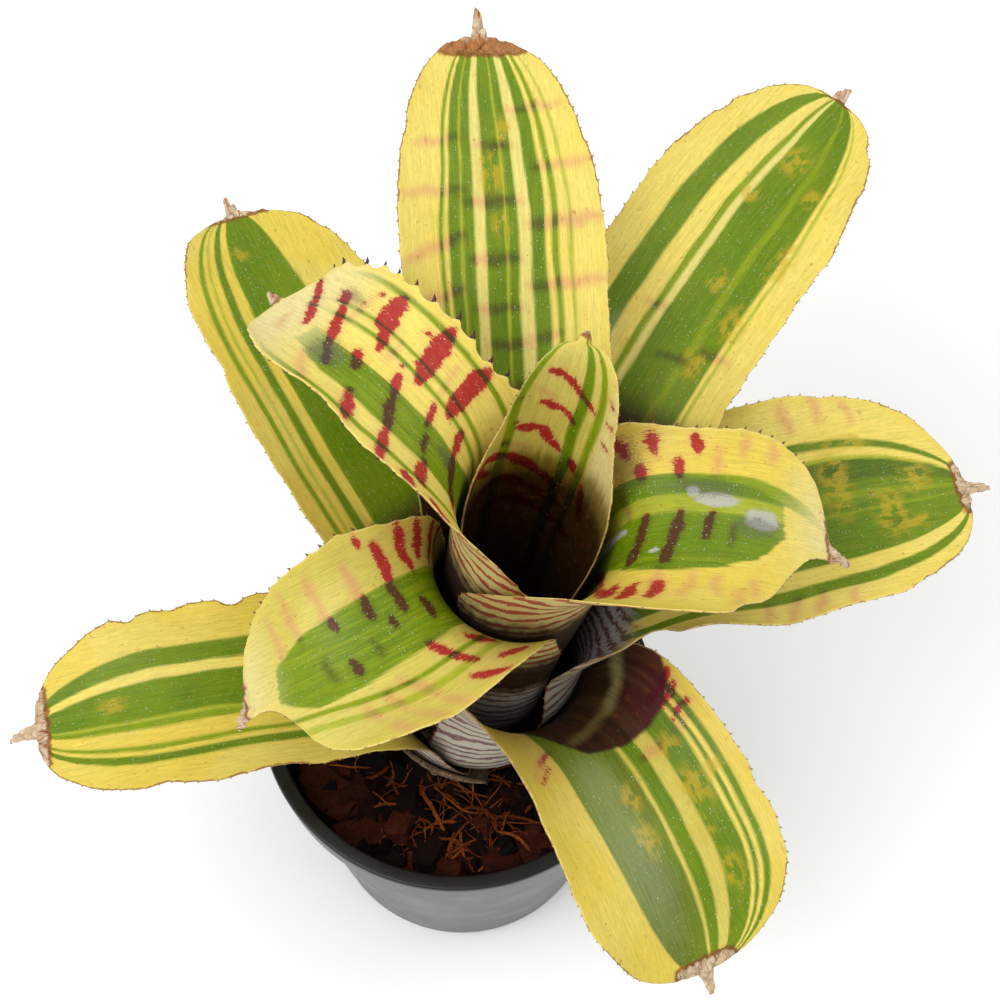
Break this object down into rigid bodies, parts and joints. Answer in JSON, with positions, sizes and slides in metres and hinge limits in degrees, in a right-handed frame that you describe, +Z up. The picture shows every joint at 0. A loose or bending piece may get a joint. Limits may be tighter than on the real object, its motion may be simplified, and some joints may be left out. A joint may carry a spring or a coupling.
{
  "type": "potted neoregelia bromeliad",
  "caption": "Bromeliad rosette of spine-edged strap leaves, striped green and yellow with crimson cross-bands, on a short stem in bark mix in a round plastic nursery pot.",
  "frame": {"origin": "centre of the pot's flat underside, where it rests on a surface", "axes": "+Z straight up out of the pot, -Y towards the side with the drooping front leaf, +X to the right seen from there"},
  "size_m": [0.255, 0.2333, 0.2419],
  "materials": {
    "pot": "satin",
    "potting_mix": "matte",
    "stem": "matte",
    "inner_leaf": "satin",
    "outer_leaf": "satin",
    "dry_leaf": "matte"
  },
  "bodies": {
    "root": {"pot": "pot", "potting_mix": "potting_mix", "stem": "stem", "leaf_young": "inner_leaf", "leaf_inner_left": "inner_leaf", "leaf_inner_right": "inner_leaf", "leaf_middle_left": "inner_leaf", "leaf_back": "outer_leaf", "leaf_back_right": "outer_leaf", "leaf_lower_right": "outer_leaf", "leaf_front": "outer_leaf", "leaf_back_left": "outer_leaf", "leaf_lower_left": "outer_leaf", "dry_sheath": "dry_leaf"}
  },
  "joints": []
}
